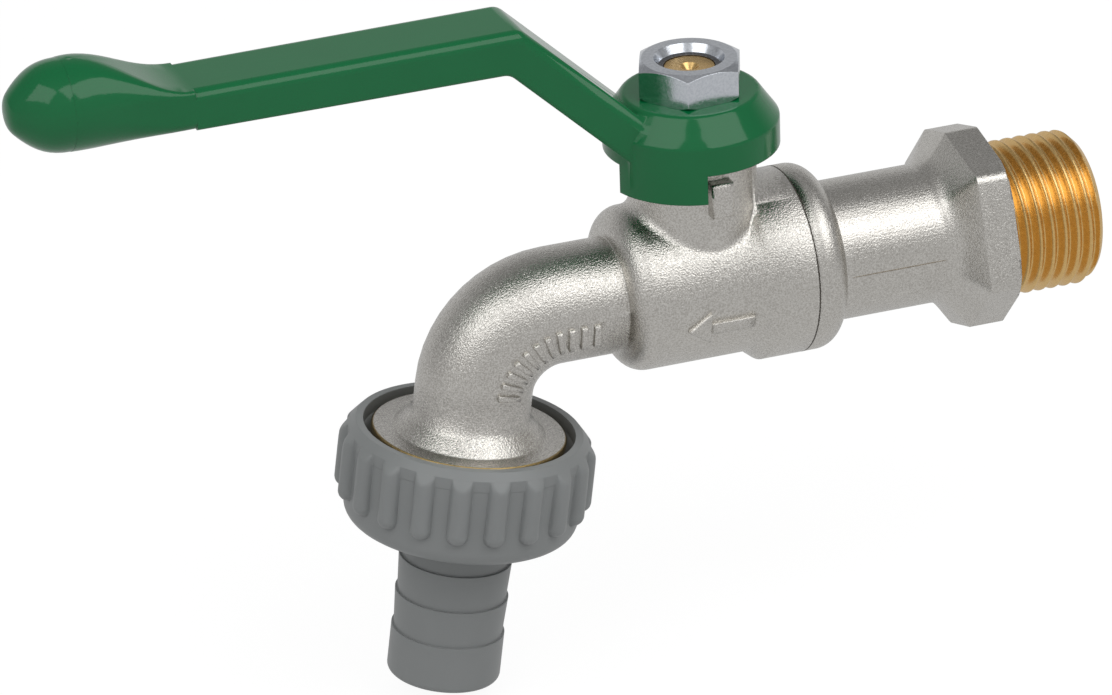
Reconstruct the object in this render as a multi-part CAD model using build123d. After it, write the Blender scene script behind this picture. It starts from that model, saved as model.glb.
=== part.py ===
from build123d import *
import math
import os

# A wall-mounted ball valve garden tap with a union for a hose. Millimetres, +Z up.
# The origin is on the inlet axis, where the inlet thread meets the hexagon.
# +X runs along the thread into the wall, the lever stands on +Z, the spout hangs at -X.

# Inlet connector: male pipe thread, hexagon, plain neck and flange.
thread_radius = 10.48
thread_length = 13.85
thread_chamfer = 1.1
inlet_bore_radius = 6.25
hex_across_flats = 26.5
hex_thickness = 4.7
hex_edge_round = 1.6
hex_crop_reach = 13.2
hex_face_chamfer_radius = 14.3
hex_back_chamfer_radius = 13.0
hex_chamfer_angle = 30.0
hex_turn = 42.0
back_cone_length = 2.9
back_cone_radius = 13.0
neck_radius = 9.4
neck_length = 15.7
shoulder_round = 3.0
flange_radius = 12.55
flange_length = 4.9
spigot_tip_wall = 1.2
socket_thread_radius = 10.85
seal_depth = 1.1
seal_groove_width = 1.4
seal_width = 1.0
soft_edge_share = 0.35

# Forged body: ball chamber, collar, stem tower and stop lug.
stem_setback = 12.8
chamber_radius = 11.1
chamber_reach = 12.2
chamber_end_round = 3.3
collar_length = 6.8
collar_round = 0.9
cavity_radius = 9.4
seat_step_gap = 0.3
tower_radius = 8.5
tower_top = 20.0
tower_fillet = 1.6
lug_width = 3.0
lug_offset = 0.4
lug_bottom = 12.4
lug_top = 17.2
lug_reach = 10.6
lug_round = 0.7

# Spout: elbow, flange disc, hose thread and waterway.
spout_radius = 7.8
spout_drop = 0.4
waterway_radius = 5.2
bend_start = 20.4
bend_radius = 11.2
spout_tilt = 8.3
spout_run = 6.2
flare_radius = 10.2
flare_height = 2.6
disc_radius = 13.0
disc_thickness = 1.0
disc_edge = 0.25
outlet_thread_radius = 12.55
outlet_thread_length = 7.0
outlet_chamfer = 0.7
outlet_recess_radius = 8.6
outlet_recess_depth = 4.6

# Ball, seats and the soft rings behind them.
ball_radius = 8.5
ball_bore_radius = 5.0
ball_slot_depth = 2.5
vent_radius = 0.9
seat_gap = 0.05
seat_outer_radius = 7.9
seat_inner_radius = 5.3
seat_front = 4.3
seat_back = 8.3
cushion_thickness = 1.2
cushion_width = 1.9
pocket_clearance = 0.1

# Stem, its seals and the gland.
stem_radius = 4.0
stem_clearance = 0.05
tang_thickness = 4.0
tang_clearance = 0.05
tang_seat_gap = 0.15
tang_floor_gap = 0.15
stem_head_radius = 5.6
stem_head_gap = 0.25
stem_head_bottom = 8.8
stem_head_thickness = 1.4
washer_thickness = 0.6
washer_play = 0.03
o_ring_groove_radius = 3.3
o_ring_width = 1.0
o_ring_proud = 0.02
neck_bore_height = 1.8
packing_outer_radius = 6.2
packing_height = 1.5
packing_count = 2
gland_thread_radius = 6.7
gland_head_across_flats = 14.0
gland_head_height = 1.9
gland_head_gap = 0.1
gland_relief = 0.3
stem_end_chamfer = 0.7

# Lever: hub, stop skirt, cranked arm and bulb grip.
hub_bore_gap = 0.5
hub_ceiling = 22.7
hub_radius = 11.7
hub_wall_bottom = 19.3
hub_wall_top = 23.1
hub_top = 26.8
hub_top_radius = 9.1
hub_edge_round = 0.8
skirt_bottom = 15.3
skirt_overlap = 0.5
stop_gap_open = 3.9
stop_gap_closed = 1.5
skirt_sector = 64.0
lever_turn = 90.0
drive_flat = 6.2
arm_width = 11.0
arm_thickness = 5.8
arm_top = 41.3
arm_taper = 0.35
arm_angle = 43.5
arm_root_reach = 9.6
arm_root_overlap = 3.2
crank_thickness = 5.5
arm_edge = 1.4
arm_under_edge = 0.6
crank_round = 2.2
grip_start = 69.0
grip_length = 16.0
grip_radius = 6.1
grip_rise = 1.65
grip_nose = 7.7
grip_flat = 0.2
# Each step: share of the length, growth to the full bulb, width and corner round by diameter.
grip_steps = [(0.2, 0.1, 0.9, 0.14), (0.42, 0.42, 0.89, 0.25), (0.7, 0.86, 0.95, 0.42)]

# Lever nut and the threaded stem end.
nut_across_flats = 13.0
nut_height = 4.6
nut_turn = 7.0
nut_face_radius = 6.3
nut_seat_radius = 6.9
nut_sink_radius = 4.7
nut_sink_depth = 1.1
stem_end_below_nut_top = 1.3
centre_drill_radius = 1.3

# Union nut, gasket and hose tail.
union_rim_rise = 0.4
union_rim_radius = 14.1
union_rim_depth = 1.9
union_thread_clearance = 0.08
union_wall_radius = 16.0
union_taper = 0.35
union_top_radius = 15.1
union_cone_height = 2.3
union_rib_count = 20
union_rib_turn = 4.8
union_rib_round = 1.45
union_rib_reach = 17.1
union_rib_end = 10.0
union_rib_root = 1.0
union_rib_end_slope = 0.7
union_lip = 1.6
union_bottom_round = 2.2
gasket_thickness = 1.8
gasket_bore_radius = 6.9
tail_flange_thickness = 2.0
tail_clearance = 0.3
tail_neck_radius = 7.25
tail_barb_radius = 7.58
tail_barb_taper = 0.3
tail_barb_count = 3
tail_barb_pitch = 5.2
tail_last_barb_length = 6.7
tail_end_round = 0.9
tail_neck_length = 6.4
tail_bore_radius = 5.4

os.makedirs("parts", exist_ok=True)

hex_back_x = -hex_thickness
neck_start_x = hex_back_x - back_cone_length
seam_x = neck_start_x - neck_length - flange_length
stem_x = seam_x - stem_setback
tilt = math.radians(spout_tilt)
bend_x = stem_x - bend_start
bend_turn = 90.0 - spout_tilt
flow = Vector(-math.sin(tilt), 0, -math.cos(tilt))
bend_exit = Vector(
    bend_x - bend_radius * math.cos(tilt),
    0,
    -spout_drop - bend_radius * (1 - math.sin(tilt)),
)
disc_centre = bend_exit + flow * spout_run

inlet_axis = Plane(origin=(0, 0, 0), x_dir=(0, 0, -1), z_dir=(1, 0, 0))
ball_axis = Plane(origin=(stem_x, 0, 0), x_dir=(0, 0, -1), z_dir=(1, 0, 0))
stem_axis = Plane(origin=(stem_x, 0, 0), x_dir=(1, 0, 0), z_dir=(0, 0, 1))
outlet_axis = Plane(origin=disc_centre, x_dir=(0, 1, 0), z_dir=flow)

packing_floor = stem_head_bottom + stem_head_thickness + washer_thickness + neck_bore_height
gland_bottom = packing_floor + packing_count * packing_height
lip_top_s = disc_thickness + outlet_thread_length + gasket_thickness + tail_flange_thickness
union_bottom_s = lip_top_s + union_lip
first_barb_s = lip_top_s + tail_neck_length


def turned(plane, profile, rounds=()):
    """Solid of revolution from (radius, height) points about the plane's normal.

    Rounds names the points whose corners are rounded, each as (radius, height, corner radius)."""
    points = [(radius, 0, height) for radius, height in profile]
    corner = {(radius, height): size for radius, height, size in rounds}
    sizes = [corner.get(point, 0) for point in profile]
    outline = FilletPolyline(*points, radius=sizes, close=True) if rounds else Polyline(*points, close=True)
    return plane * revolve(make_face(outline), Axis.Z)


def tube(plane, outer, inner, bottom, top):
    """Straight ring between two heights along the plane's normal."""
    return turned(plane, [(inner, bottom), (outer, bottom), (outer, top), (inner, top)])


def rod(plane, radius, bottom, top):
    return tube(plane, radius, 0, bottom, top)


def hexagon(plane, across_flats, bottom, top, turn=0):
    """Hexagonal prism along the plane's normal, with a corner at the turn angle."""
    section = RegularPolygon(across_flats / 2, 6, major_radius=False, rotation=turn)
    return plane * Pos(0, 0, bottom) * extrude(section, top - bottom)


def soft_ring(plane, outer, inner, bottom, top, edge):
    """Ring with rounded section, such as an O-ring pressed in its groove."""
    middle = Pos((outer + inner) / 2, 0, (bottom + top) / 2)
    section = Plane.XZ * RectangleRounded(outer - inner, top - bottom, edge)
    return plane * revolve(middle * section, Axis.Z)


def make_connector():
    """Turned and plated connector that screws into the body and carries the wall thread."""
    cushion_floor = seat_back + cushion_thickness
    floor_x = stem_x + cushion_floor
    tip_x = stem_x + stem_head_radius + stem_head_gap
    tip_radius = seat_outer_radius + pocket_clearance + spigot_tip_wall
    socket_x = seam_x - collar_length + collar_round
    shoulder_x = neck_start_x - neck_length
    profile = [
        (inlet_bore_radius, thread_length),
        (thread_radius - thread_chamfer, thread_length),
        (thread_radius, thread_length - thread_chamfer),
        (thread_radius, 0),
        (back_cone_radius, 0),
        (back_cone_radius, hex_back_x),
        (neck_radius, neck_start_x),
        (neck_radius, shoulder_x),
        (flange_radius, shoulder_x),
        (flange_radius, seam_x),
        (socket_thread_radius - seal_depth, seam_x),
        (socket_thread_radius - seal_depth, seam_x - seal_groove_width),
        (socket_thread_radius, seam_x - seal_groove_width),
        (socket_thread_radius, socket_x),
        (tip_radius, socket_x),
        (tip_radius, tip_x),
        (seat_outer_radius + pocket_clearance, tip_x),
        (seat_outer_radius + pocket_clearance, floor_x),
        (inlet_bore_radius, floor_x),
    ]
    shaft = turned(inlet_axis, profile, [(flange_radius, shoulder_x, shoulder_round)])
    outer = hex_across_flats
    chamfer_slope = math.tan(math.radians(hex_chamfer_angle))
    trim = turned(inlet_axis, [
        (0, 0),
        (hex_face_chamfer_radius, 0),
        (outer, -(outer - hex_face_chamfer_radius) * chamfer_slope),
        (outer, hex_back_x + (outer - hex_back_chamfer_radius) * chamfer_slope),
        (hex_back_chamfer_radius, hex_back_x),
        (0, hex_back_x),
    ])
    crop = inlet_axis * Rot(0, 0, hex_turn - 60) * Box(2 * hex_crop_reach, 2 * outer, 2 * outer)
    nut = hexagon(inlet_axis, hex_across_flats, hex_back_x, 0, hex_turn) & crop
    nut = fillet(nut.edges().filter_by(Axis.X), hex_edge_round) & trim
    return shaft + nut - rod(inlet_axis, inlet_bore_radius, floor_x, thread_length)


def spout_path():
    """Centre line of the waterway: level run, bend and tilted drop to the disc."""
    start = Vector(stem_x - chamber_reach + chamber_end_round, 0, -spout_drop)
    level = Line(start, (bend_x, 0, -spout_drop))
    centre = Vector(bend_x, 0, -spout_drop - bend_radius)
    half = math.radians(90.0 + bend_turn / 2)
    middle = centre + Vector(math.cos(half), 0, math.sin(half)) * bend_radius
    bend = ThreePointArc((bend_x, 0, -spout_drop), middle, bend_exit)
    drop = Line(bend_exit, disc_centre)
    return level + bend + drop


def along_spout(radius):
    path = spout_path()
    start = Plane(origin=path @ 0, z_dir=path % 0)
    return sweep(start * Circle(radius), path=path)


def make_body():
    """Forged and plated brass body, machined inside and at the outlet thread."""
    chamber_end = stem_x - chamber_reach
    collar_x = seam_x - collar_length
    shell = turned(inlet_axis, [
        (0, seam_x),
        (flange_radius, seam_x),
        (flange_radius, collar_x + collar_round),
        (chamber_radius, collar_x - collar_round),
        (chamber_radius, chamber_end),
        (0, chamber_end),
    ], [(chamber_radius, chamber_end, chamber_end_round)])
    tower = rod(stem_axis, tower_radius, 0, tower_top)
    shell = shell + tower
    joint = [e for e in shell.edges()
             if e.bounding_box().max.Z < chamber_radius + pocket_clearance
             and e.bounding_box().min.Z > chamber_radius / 2
             and abs(e.center().X - stem_x) < tower_radius
             and e.geom_type != GeomType.LINE
             and abs(e.bounding_box().size.Y) > tower_radius]
    shell = fillet(joint, tower_fillet)

    lug = Pos(stem_x + lug_offset, -lug_reach / 2, (lug_top + lug_bottom) / 2) * Box(
        lug_width, lug_reach, lug_top - lug_bottom)
    lug = fillet(lug.faces().sort_by(Axis.Y)[0].edges(), lug_round)
    lug = lug - rod(stem_axis, packing_outer_radius, 0, tower_top)
    shell = shell + lug

    spout = along_spout(spout_radius)
    boss_end = disc_thickness + outlet_thread_length
    boss = turned(outlet_axis, [
        (0, -flare_height),
        (spout_radius, -flare_height),
        (flare_radius, 0),
        (disc_radius - disc_edge, 0),
        (disc_radius, disc_edge),
        (disc_radius, disc_thickness),
        (outlet_thread_radius, disc_thickness),
        (outlet_thread_radius, boss_end - outlet_chamfer),
        (outlet_thread_radius - outlet_chamfer, boss_end),
        (0, boss_end),
    ])
    body = shell + spout + boss

    cushion_floor = seat_back + cushion_thickness
    pocket = seat_outer_radius + pocket_clearance
    cavity = turned(ball_axis, [
        (0, -cushion_floor),
        (pocket, -cushion_floor),
        (pocket, -seat_front - seat_step_gap),
        (cavity_radius, -seat_front - seat_step_gap),
        (cavity_radius, stem_setback - collar_length + collar_round),
        (socket_thread_radius, stem_setback - collar_length + collar_round),
        (socket_thread_radius, stem_setback),
        (0, stem_setback),
    ])
    ceiling = stem_head_bottom + stem_head_thickness + washer_thickness
    stem_room = turned(stem_axis, [
        (0, 0),
        (stem_head_radius + stem_head_gap, 0),
        (stem_head_radius + stem_head_gap, ceiling),
        (stem_radius + stem_clearance, ceiling),
        (stem_radius + stem_clearance, packing_floor),
        (packing_outer_radius, packing_floor),
        (packing_outer_radius, gland_bottom),
        (gland_thread_radius, gland_bottom),
        (gland_thread_radius, tower_top),
        (0, tower_top),
    ])
    outlet = turned(outlet_axis, [
        (0, 0),
        (waterway_radius, 0),
        (waterway_radius, boss_end - outlet_recess_depth),
        (outlet_recess_radius, boss_end - outlet_recess_depth),
        (outlet_recess_radius, boss_end),
        (0, boss_end),
    ])
    return body - cavity - stem_room - along_spout(waterway_radius) - outlet


def make_ball():
    """Ball with a through bore, a slot for the stem tang and a side vent hole."""
    ball = Pos(stem_x, 0, 0) * Sphere(ball_radius)
    ball -= rod(ball_axis, ball_bore_radius, -ball_radius, ball_radius)
    slot_width = tang_thickness + 2 * tang_clearance
    slot = Pos(stem_x, 0, ball_radius - ball_slot_depth) * Box(
        slot_width, 2 * ball_radius, ball_radius, align=(Align.CENTER, Align.CENTER, Align.MIN))
    vent = Plane(origin=(stem_x, 0, 0), z_dir=(0, -1, 0)) * Cylinder(
        vent_radius, ball_radius, align=(Align.CENTER, Align.CENTER, Align.MIN))
    return ball - slot - vent


def make_seat(side):
    """Seat ring with a spherical face towards the ball; side is 1 for inlet, -1 for outlet."""
    ring = tube(ball_axis, seat_outer_radius, seat_inner_radius, side * seat_front, side * seat_back)
    return ring - ball_axis * Sphere(ball_radius + seat_gap)


def make_cushion(side):
    """Soft ring that presses the seat ring against the ball."""
    ends = sorted([side * seat_back, side * (seat_back + cushion_thickness)])
    outer = seat_outer_radius - pocket_clearance
    return soft_ring(ball_axis, outer, outer - cushion_width,
                     ends[0], ends[1], cushion_thickness * soft_edge_share)


def make_connector_seal():
    middle = seam_x - seal_groove_width / 2
    return soft_ring(inlet_axis, socket_thread_radius, socket_thread_radius - seal_depth,
                     middle - seal_width / 2, middle + seal_width / 2, seal_width * soft_edge_share)


def drive_section(clearance):
    """Round section with two flats, which turns the stem with the lever."""
    return Circle(stem_radius + clearance) & Rectangle(
        2 * (stem_radius + clearance), drive_flat + 2 * clearance)


def make_stem():
    """Turned brass stem with head, groove, drive flats, threaded end and ball tang."""
    head_top = stem_head_bottom + stem_head_thickness
    groove_bottom = head_top + washer_thickness + (neck_bore_height - o_ring_width) / 2
    stem_top = hub_top + nut_height - stem_end_below_nut_top
    shaft = turned(stem_axis, [
        (0, stem_head_bottom),
        (stem_head_radius, stem_head_bottom),
        (stem_head_radius, head_top),
        (stem_radius, head_top),
        (stem_radius, groove_bottom),
        (o_ring_groove_radius, groove_bottom),
        (o_ring_groove_radius, groove_bottom + o_ring_width),
        (stem_radius, groove_bottom + o_ring_width),
        (stem_radius, stem_top - stem_end_chamfer),
        (stem_radius - stem_end_chamfer, stem_top),
        (centre_drill_radius, stem_top),
        (0, stem_top - centre_drill_radius),
    ])
    flats_height = hub_top - hub_ceiling
    keep = Pos(stem_x, 0, hub_ceiling) * extrude(drive_section(0), flats_height)
    band = rod(stem_axis, stem_head_radius, hub_ceiling, hub_ceiling + flats_height)
    shaft = shaft - (band - keep)
    tang_bottom = ball_radius - ball_slot_depth + tang_floor_gap
    tang_reach = seat_front - tang_seat_gap
    tang = Pos(stem_x, 0, tang_bottom) * Box(
        tang_thickness, 2 * tang_reach, stem_head_bottom - tang_bottom,
        align=(Align.CENTER, Align.CENTER, Align.MIN))
    tang = tang & rod(stem_axis, tang_reach, tang_bottom, stem_head_bottom)
    return shaft + tang


def make_thrust_washer():
    head_top = stem_head_bottom + stem_head_thickness
    return tube(stem_axis, stem_head_radius - pocket_clearance, stem_radius + stem_clearance,
                head_top, head_top + washer_thickness - washer_play)


def make_stem_o_ring():
    head_top = stem_head_bottom + stem_head_thickness
    groove_bottom = head_top + washer_thickness + (neck_bore_height - o_ring_width) / 2
    thickness = stem_radius + o_ring_proud - o_ring_groove_radius
    return soft_ring(stem_axis, o_ring_groove_radius + thickness, o_ring_groove_radius,
                     groove_bottom, groove_bottom + o_ring_width, thickness * soft_edge_share)


def make_packing(index):
    bottom = packing_floor + index * packing_height
    return tube(stem_axis, packing_outer_radius, stem_radius + stem_clearance,
                bottom, bottom + packing_height)


def make_gland():
    """Gland nut: threaded ring that presses the packing, with a low hexagon head."""
    ring = rod(stem_axis, gland_thread_radius, gland_bottom, tower_top)
    head_bottom = tower_top + gland_head_gap
    neck = rod(stem_axis, gland_thread_radius - gland_relief, tower_top, head_bottom)
    head = hexagon(stem_axis, gland_head_across_flats, head_bottom, head_bottom + gland_head_height)
    bore = rod(stem_axis, stem_radius + stem_clearance, gland_bottom, head_bottom + gland_head_height)
    return ring + neck + head - bore


def hub_sector(start, sweep_angle, bottom, top):
    """Solid wedge of a circle between two polar angles, measured from +X."""
    reach = 2 * hub_radius
    rim = [Vector(reach, 0).rotate(Axis.Z, start + sweep_angle * share) for share in (0, 0.5, 1)]
    wedge = make_face(Polyline((0, 0), *rim, close=True))
    return Pos(stem_x, 0, bottom) * extrude(wedge, top - bottom)


def grip_section(share, growth, width, corner_round):
    """Cross section at a share of the grip's length; growth runs from arm (0) to full bulb (1)."""
    start_height = arm_thickness - arm_taper
    height = start_height + (2 * grip_radius - start_height) * growth
    under_round = max(arm_under_edge, corner_round - (arm_edge - arm_under_edge) * (1 - growth))
    face = Rectangle(width, height)
    face = fillet(face.vertices().sort_by(Axis.Y)[:2], under_round)
    face = fillet(face.vertices().sort_by(Axis.Y)[-2:], corner_round)
    middle = arm_top - arm_thickness / 2 + grip_rise * growth - arm_taper / 2 * (1 - growth)
    centre = (stem_x - grip_start - share * grip_length, 0, middle)
    return Plane(origin=centre, x_dir=(0, 1, 0), z_dir=(-1, 0, 0)) * face


def make_grip():
    """Bulb at the end of the arm, lofted from the flat arm to a round nose."""
    full = 2 * grip_radius
    nearly_round = grip_radius - grip_flat / 2
    sections = [grip_section(0, 0, arm_width, arm_edge)]
    for share, growth, width_share, round_share in grip_steps:
        sections.append(grip_section(share, growth, full * width_share, full * round_share))
    sections.append(grip_section(1, 1, full, nearly_round))
    bulb = loft(sections)
    tip_centre = (stem_x - grip_start - grip_length, 0, arm_top - arm_thickness / 2 + grip_rise)
    nose_plane = Plane(origin=tip_centre, x_dir=(0, 1, 0), z_dir=(-1, 0, 0))
    quarter = [(grip_radius * math.cos(math.radians(angle)), grip_nose * math.sin(math.radians(angle)))
               for angle in (0, 30, 60, 90)]
    curve = Spline(*quarter, tangents=[(0, 1), (-1, 0)])
    outline = curve + Line(quarter[-1], (0, 0)) + Line((0, 0), quarter[0])
    nose = nose_plane * revolve(Plane.XZ * make_face(outline), Axis.Z)
    return bulb + nose


def arm_middle(reach):
    """Height half-way between the arm's upper and under side at a distance from the stem."""
    level = arm_top - arm_thickness / 2
    slope = math.tan(math.radians(arm_angle))
    across = crank_thickness / math.sin(math.radians(arm_angle))
    return min(level, hub_wall_bottom + (reach - arm_root_reach + across / 2) * slope)


def make_arm():
    """Flat cranked arm, rounded along its upper edges and less below."""
    slope = math.tan(math.radians(arm_angle))
    across = crank_thickness / math.sin(math.radians(arm_angle))
    under = arm_top - arm_thickness
    bottom_reach = arm_root_reach + (under - hub_wall_bottom) / slope
    top_reach = arm_root_reach + (arm_top - hub_wall_bottom) / slope - across
    inner = arm_root_overlap
    side = FilletPolyline(
        (-inner, hub_wall_bottom),
        (-arm_root_reach, hub_wall_bottom),
        (-bottom_reach, under),
        (-grip_start, under),
        (-grip_start, arm_top - arm_taper),
        (-top_reach, arm_top),
        (-inner, arm_top - (top_reach - inner) * slope),
        radius=[0, 0, crank_round, 0, 0, crank_round, 0],
        close=True,
    )
    side_plane = Plane(origin=(stem_x, 0, 0), x_dir=(1, 0, 0), z_dir=(0, -1, 0))
    arm = extrude(side_plane * make_face(side), arm_width / 2, both=True)
    flanks = arm.faces().sort_by(Axis.Y)
    rims = flanks[0].edges() + flanks[-1].edges()
    rims = [e for e in rims if e.bounding_box().size.X > 0.01 and e.center().Z > hub_wall_bottom + 0.01]
    upper = [e for e in rims if (e @ 0.5).Z > arm_middle(stem_x - (e @ 0.5).X)]
    arm = fillet(upper, arm_edge)
    flanks = arm.faces().filter_by(Plane.XZ)
    rims = flanks.sort_by(Axis.Y)[0].edges() + flanks.sort_by(Axis.Y)[-1].edges()
    rims = [e for e in rims if e.bounding_box().size.X > 0.01 and e.center().Z > hub_wall_bottom + 0.01]
    under_rims = [e for e in rims if (e @ 0.5).Z < arm_middle(stem_x - (e @ 0.5).X)]
    return fillet(under_rims, arm_under_edge)


def make_lever():
    """Die-cast and painted lever in one piece."""
    hub = turned(stem_axis, [
        (0, hub_wall_bottom),
        (hub_radius, hub_wall_bottom),
        (hub_radius, hub_wall_top),
        (hub_top_radius, hub_top),
        (0, hub_top),
    ], [
        (hub_radius, hub_wall_top, hub_edge_round),
        (hub_top_radius, hub_top, hub_edge_round),
    ])
    bore_radius = tower_radius + hub_bore_gap
    lug_open_side = 270 + math.degrees(math.asin((lug_offset - lug_width / 2) / bore_radius))
    lug_closed_side = 270 + math.degrees(math.asin((lug_offset + lug_width / 2) / bore_radius))
    open_edge = lug_open_side - stop_gap_open
    closed_edge = lug_closed_side + lever_turn + stop_gap_closed
    skirt_top = hub_wall_bottom + skirt_overlap
    skirt = rod(stem_axis, hub_radius, skirt_bottom, skirt_top)
    stops = hub_sector(open_edge - skirt_sector, skirt_sector, skirt_bottom, skirt_top)
    stops = stops + hub_sector(closed_edge, skirt_sector, skirt_bottom, skirt_top)
    lever = hub + make_arm() + (skirt & stops) + make_grip()
    room = rod(stem_axis, bore_radius, 0, hub_ceiling)
    drive = Pos(stem_x, 0, hub_ceiling) * extrude(drive_section(stem_clearance), hub_top)
    return lever - room - drive


def make_handle_nut():
    """Hexagon nut that clamps the lever on the stem."""
    top = hub_top + nut_height
    body = hexagon(stem_axis, nut_across_flats, hub_top, top, nut_turn)
    drop = (nut_across_flats - nut_face_radius) * math.tan(math.radians(hex_chamfer_angle))
    trim = turned(stem_axis, [
        (0, hub_top),
        (nut_seat_radius, hub_top),
        (nut_across_flats, hub_top + drop),
        (nut_across_flats, top - drop),
        (nut_face_radius, top),
        (0, top),
    ])
    bore = turned(stem_axis, [
        (0, hub_top),
        (stem_radius + stem_clearance, hub_top),
        (stem_radius + stem_clearance, top - nut_sink_depth),
        (nut_sink_radius, top),
        (0, top),
    ])
    return (body & trim) - bore


def make_union_nut():
    """Moulded ring nut with a ribbed grip and an inner lip that holds the hose tail."""
    top = -union_rim_rise
    bore = outlet_thread_radius + union_thread_clearance
    foot = union_wall_radius - union_taper
    lip_radius = tail_barb_radius + tail_clearance
    outside = turned(outlet_axis, [
        (0, top),
        (union_top_radius, top),
        (union_wall_radius, top + union_cone_height * (union_wall_radius - union_top_radius)
         / (union_rib_reach - union_top_radius)),
        (foot, union_bottom_s),
        (0, union_bottom_s),
    ])
    bottom_edge = outside.edges().filter_by(GeomType.CIRCLE).sort_by(lambda e: e.center().Z)[0]
    outside = fillet(bottom_edge, union_bottom_round)
    rib_root = foot - union_rib_root
    rib_middle = union_rib_reach - union_rib_round
    crest = Pos(rib_middle, 0) * Circle(union_rib_round)
    web = Pos((rib_root + rib_middle) / 2, 0) * Rectangle(rib_middle - rib_root, 2 * union_rib_round)
    rib = Pos(0, 0, top) * extrude(crest + web, union_rib_end - top)
    trim = turned(Plane.XY, [
        (rib_root, top),
        (union_top_radius, top),
        (union_rib_reach, top + union_cone_height),
        (union_rib_reach, union_rib_end - union_rib_end_slope),
        (foot, union_rib_end),
        (rib_root, union_rib_end),
    ])
    rib = rib & trim
    ribs = [outlet_axis * Rot(0, 0, union_rib_turn + 360 * i / union_rib_count) * rib
            for i in range(union_rib_count)]
    hollow = turned(outlet_axis, [
        (0, top),
        (union_rim_radius, top),
        (union_rim_radius, top + union_rim_depth),
        (bore, top + union_rim_depth + union_rim_radius - bore),
        (bore, lip_top_s),
        (lip_radius, lip_top_s),
        (lip_radius, union_bottom_s),
        (0, union_bottom_s),
    ])
    return outside + ribs - hollow


def make_gasket():
    seat = disc_thickness + outlet_thread_length
    return tube(outlet_axis, outlet_thread_radius - outlet_chamfer, gasket_bore_radius,
                seat, seat + gasket_thickness)


def make_hose_tail():
    """Moulded hose tail: clamped flange, plain neck and barbs that face the nut."""
    seat = disc_thickness + outlet_thread_length + gasket_thickness
    profile = [
        (tail_bore_radius, seat),
        (outlet_thread_radius - tail_clearance, seat),
        (outlet_thread_radius - tail_clearance, lip_top_s),
        (tail_neck_radius, lip_top_s),
        (tail_neck_radius, first_barb_s),
    ]
    for index in range(tail_barb_count):
        ledge = first_barb_s + index * tail_barb_pitch
        profile.append((tail_barb_radius, ledge))
        if index < tail_barb_count - 1:
            profile.append((tail_barb_radius - tail_barb_taper, ledge + tail_barb_pitch))
    end = ledge + tail_last_barb_length
    profile.append((tail_barb_radius, end))
    profile.append((tail_bore_radius, end))
    return turned(outlet_axis, profile, [(tail_barb_radius, end, tail_end_round)])


parts = {
    "inlet_connector": make_connector(),
    "valve_body": make_body(),
    "ball": make_ball(),
    "seat_ring_inlet": make_seat(1),
    "seat_ring_outlet": make_seat(-1),
    "seat_cushion_inlet": make_cushion(1),
    "seat_cushion_outlet": make_cushion(-1),
    "connector_seal": make_connector_seal(),
    "stem": make_stem(),
    "thrust_washer": make_thrust_washer(),
    "stem_o_ring": make_stem_o_ring(),
    "packing_ring_lower": make_packing(0),
    "packing_ring_upper": make_packing(1),
    "gland_nut": make_gland(),
    "lever_handle": make_lever(),
    "handle_nut": make_handle_nut(),
    "union_nut": make_union_nut(),
    "hose_gasket": make_gasket(),
    "hose_tail": make_hose_tail(),
}

for name, solid in parts.items():
    export_step(solid, os.path.join("parts", name + ".step"))
print("stem axis x", round(stem_x, 3), "disc centre", disc_centre, "flow", flow)
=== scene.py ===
import math

import bmesh
import bpy
from mathutils import Matrix, Vector


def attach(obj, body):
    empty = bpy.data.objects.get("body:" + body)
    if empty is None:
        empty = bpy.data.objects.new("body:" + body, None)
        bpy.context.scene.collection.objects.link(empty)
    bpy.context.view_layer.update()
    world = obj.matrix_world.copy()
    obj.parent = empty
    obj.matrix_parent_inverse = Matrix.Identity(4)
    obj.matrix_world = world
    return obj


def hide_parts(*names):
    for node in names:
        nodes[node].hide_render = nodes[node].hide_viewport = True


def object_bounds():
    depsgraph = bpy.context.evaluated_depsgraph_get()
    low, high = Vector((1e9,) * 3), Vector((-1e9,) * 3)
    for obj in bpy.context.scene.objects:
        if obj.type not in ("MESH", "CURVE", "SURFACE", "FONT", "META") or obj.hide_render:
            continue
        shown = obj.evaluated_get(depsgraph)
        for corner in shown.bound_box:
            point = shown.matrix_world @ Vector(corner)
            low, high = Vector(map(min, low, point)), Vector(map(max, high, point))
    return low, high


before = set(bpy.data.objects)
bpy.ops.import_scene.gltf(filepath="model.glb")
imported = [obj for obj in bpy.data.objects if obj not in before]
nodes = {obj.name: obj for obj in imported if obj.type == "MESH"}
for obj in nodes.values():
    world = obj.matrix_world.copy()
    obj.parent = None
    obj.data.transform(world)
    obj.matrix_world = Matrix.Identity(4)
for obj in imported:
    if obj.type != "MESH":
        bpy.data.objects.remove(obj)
cad_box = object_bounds()


# The studio: a pale sweep under and behind the tap, and two large soft lamps high up in front of
# it, left and right. The camera stands where the photographer stood, far back with a long lens.
photo_width = 1112
photo_height = 695
focal_pixels = 7533.0
origin_pixel = (979.46, 222.09)
origin_distance = 1.0089
view_azimuth = math.radians(-19.74)
view_elevation = math.radians(25.20)
view_roll = math.radians(1.99)
sensor_width = 36.0
nearest_seen = 0.05
farthest_seen = 20.0

right = Vector((math.cos(view_azimuth), math.sin(view_azimuth), 0))
back = Vector((
    math.sin(view_azimuth) * math.cos(view_elevation),
    -math.cos(view_azimuth) * math.cos(view_elevation),
    math.sin(view_elevation),
))
up = back.cross(right)
rolled_right = right * math.cos(view_roll) - up * math.sin(view_roll)
rolled_up = right * math.sin(view_roll) + up * math.cos(view_roll)
across = (origin_pixel[0] - photo_width / 2) * origin_distance / focal_pixels
above = -(origin_pixel[1] - photo_height / 2) * origin_distance / focal_pixels

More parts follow.
